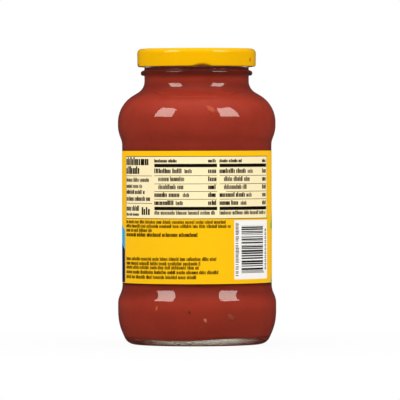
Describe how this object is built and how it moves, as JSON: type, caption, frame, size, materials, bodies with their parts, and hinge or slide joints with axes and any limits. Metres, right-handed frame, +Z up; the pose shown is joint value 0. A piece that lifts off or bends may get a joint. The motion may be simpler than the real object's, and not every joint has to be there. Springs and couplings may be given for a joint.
{
  "type": "jar of tomato sauce",
  "caption": "Shut clear glass jar of tomato sauce with bulged shoulder and base, yellow twist-off metal lid and a yellow paper label wrapped round its waist.",
  "frame": {"origin": "centre of the jar's base, on the surface that it stands on", "axes": "+Z up along the jar's axis; the middle of the label's back, the side shown in the picture, faces -Y"},
  "size_m": [0.0882, 0.0882, 0.1644],
  "materials": {
    "clear_glass": "clear, gloss",
    "tomato_sauce": "wet tomato puree seen through glass",
    "lid_lacquer": "gloss lacquer",
    "label_paper": "coated label paper, printed"
  },
  "bodies": {
    "root": {"glass_jar": "clear_glass", "sauce": "tomato_sauce", "lid": "lid_lacquer", "label": "label_paper"}
  },
  "joints": []
}
